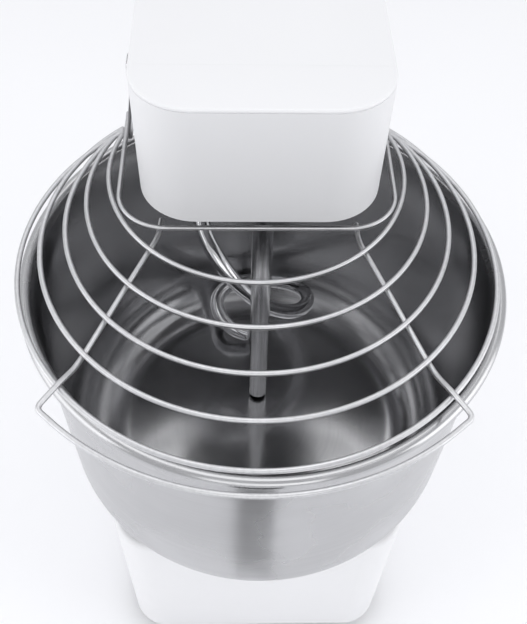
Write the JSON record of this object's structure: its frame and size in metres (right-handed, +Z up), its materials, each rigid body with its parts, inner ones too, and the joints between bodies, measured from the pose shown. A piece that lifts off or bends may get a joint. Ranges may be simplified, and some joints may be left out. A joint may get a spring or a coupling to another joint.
{
  "type": "spiral dough mixer",
  "caption": "Floor-standing commercial spiral dough mixer: fixed head over a turning steel bowl, spiral hook, breaker bar and a wire guard that lifts.",
  "frame": {"origin": "on the floor under the middle of the machine", "axes": "+Z up, -Y is the front where the bowl is, +X is the right side as seen by somebody who faces +Y"},
  "size_m": [0.4222, 0.6958, 0.727],
  "materials": {
    "paint": "satin white powder coat",
    "stainless": "fine satin stainless steel",
    "wire": "bright polished stainless wire",
    "steel": "machined steel",
    "cast_iron": "painted casting",
    "rubber": "matte",
    "dark_plastic": "fine texture",
    "green_plastic": "gloss",
    "red_plastic": "gloss"
  },
  "bodies": {
    "machine": {"base_shell": "paint", "base_floor": "steel", "drive_bridge": "steel", "cable_gland": "dark_plastic", "foot_front_left": "rubber", "foot_front_right": "rubber", "foot_rear_left": "rubber", "foot_rear_right": "rubber", "column_shell": "paint", "rear_panel": "paint", "head_hood": "paint", "head_cover": "paint", "head_bottom_plate": "stainless", "breaker_bar": "stainless", "bar_clamp": "cast_iron", "bowl_bearing": "cast_iron", "hook_bearing": "cast_iron", "countershaft_top_bearing": "cast_iron", "countershaft_base_bearing": "cast_iron", "reduction_bearing": "cast_iron", "upper_chain": "steel", "lower_chain": "steel", "bowl_chain": "steel", "motor": "cast_iron", "motor_mount": "steel", "drive_belt": "rubber", "control_panel": "dark_plastic", "control_box": "dark_plastic", "hinge_pin_left": "steel", "hinge_pin_right": "steel", "guard_switch": "dark_plastic"},
    "bowl": {"bowl": "stainless", "bowl_drive_plate": "steel", "bowl_shaft": "steel", "bowl_sprocket": "steel"},
    "hook": {"hook": "stainless", "hook_shaft": "steel", "hook_sprocket": "steel"},
    "countershaft": {"countershaft": "steel", "belt_pulley": "cast_iron", "upper_sprocket": "steel", "lower_sprocket": "steel"},
    "reduction": {"reduction_shaft": "steel", "reduction_sprocket": "steel"},
    "motor_rotor": {"motor_shaft": "steel", "motor_pulley": "cast_iron", "motor_fan": "dark_plastic"},
    "guard": {"guard_frame": "wire", "guard_arc_1": "wire", "guard_arc_2": "wire", "guard_arc_3": "wire", "guard_arc_4": "wire", "guard_arc_5": "wire", "guard_handle": "wire", "guard_arm_left": "stainless", "guard_arm_right": "stainless"},
    "timer_knob": {"timer_knob": "dark_plastic"},
    "emergency_stop": {"emergency_stop": "red_plastic"},
    "start_button": {"start_button": "green_plastic"},
    "stop_button": {"stop_button": "red_plastic"}
  },
  "joints": [
    {"name": "hook_spin", "type": "hinge", "parent": "machine", "child": "hook", "pos_m": [0, 0.00686, 0.611], "axis": [0, 0, 1], "continuous": true},
    {"name": "bowl_spin", "type": "hinge", "parent": "machine", "child": "bowl", "pos_m": [0, -0.11514, 0.28], "axis": [0, 0, 1], "continuous": true},
    {"name": "countershaft_spin", "type": "hinge", "parent": "machine", "child": "countershaft", "pos_m": [0, 0.13486, 0.461], "axis": [0, 0, 1], "continuous": true},
    {"name": "reduction_spin", "type": "hinge", "parent": "machine", "child": "reduction", "pos_m": [0, 0.03486, 0.161], "axis": [0, 0, 1], "continuous": true},
    {"name": "motor_spin", "type": "hinge", "parent": "machine", "child": "motor_rotor", "pos_m": [0, 0.26086, 0.501], "axis": [0, 0, 1], "continuous": true},
    {"name": "guard_hinge", "type": "hinge", "parent": "machine", "child": "guard", "pos_m": [0, -0.01714, 0.695], "axis": [-1, 0, 0], "range_deg": [0, 80]},
    {"name": "timer_turn", "type": "hinge", "parent": "machine", "child": "timer_knob", "pos_m": [0.115, 0.25086, 0.688], "axis": [-1, 0, 0], "range_deg": [0, 300]},
    {"name": "emergency_stop_press", "type": "slide", "parent": "machine", "child": "emergency_stop", "axis": [-1, 0, 0], "range_m": [0, 0.004]},
    {"name": "start_button_press", "type": "slide", "parent": "machine", "child": "start_button", "axis": [-1, 0, 0], "range_m": [0, 0.003], "stiffness_N_per_m": 300, "springref_m": -0.002},
    {"name": "stop_button_press", "type": "slide", "parent": "machine", "child": "stop_button", "axis": [-1, 0, 0], "range_m": [0, 0.003], "stiffness_N_per_m": 300, "springref_m": -0.002}
  ],
  "couplings": [
    {"joint": "countershaft_spin", "follows": "hook_spin", "ratio": 2.2353},
    {"joint": "reduction_spin", "follows": "hook_spin", "ratio": 0.59304},
    {"joint": "bowl_spin", "follows": "hook_spin", "ratio": 0.09884},
    {"joint": "motor_spin", "follows": "hook_spin", "ratio": 7.1849}
  ]
}
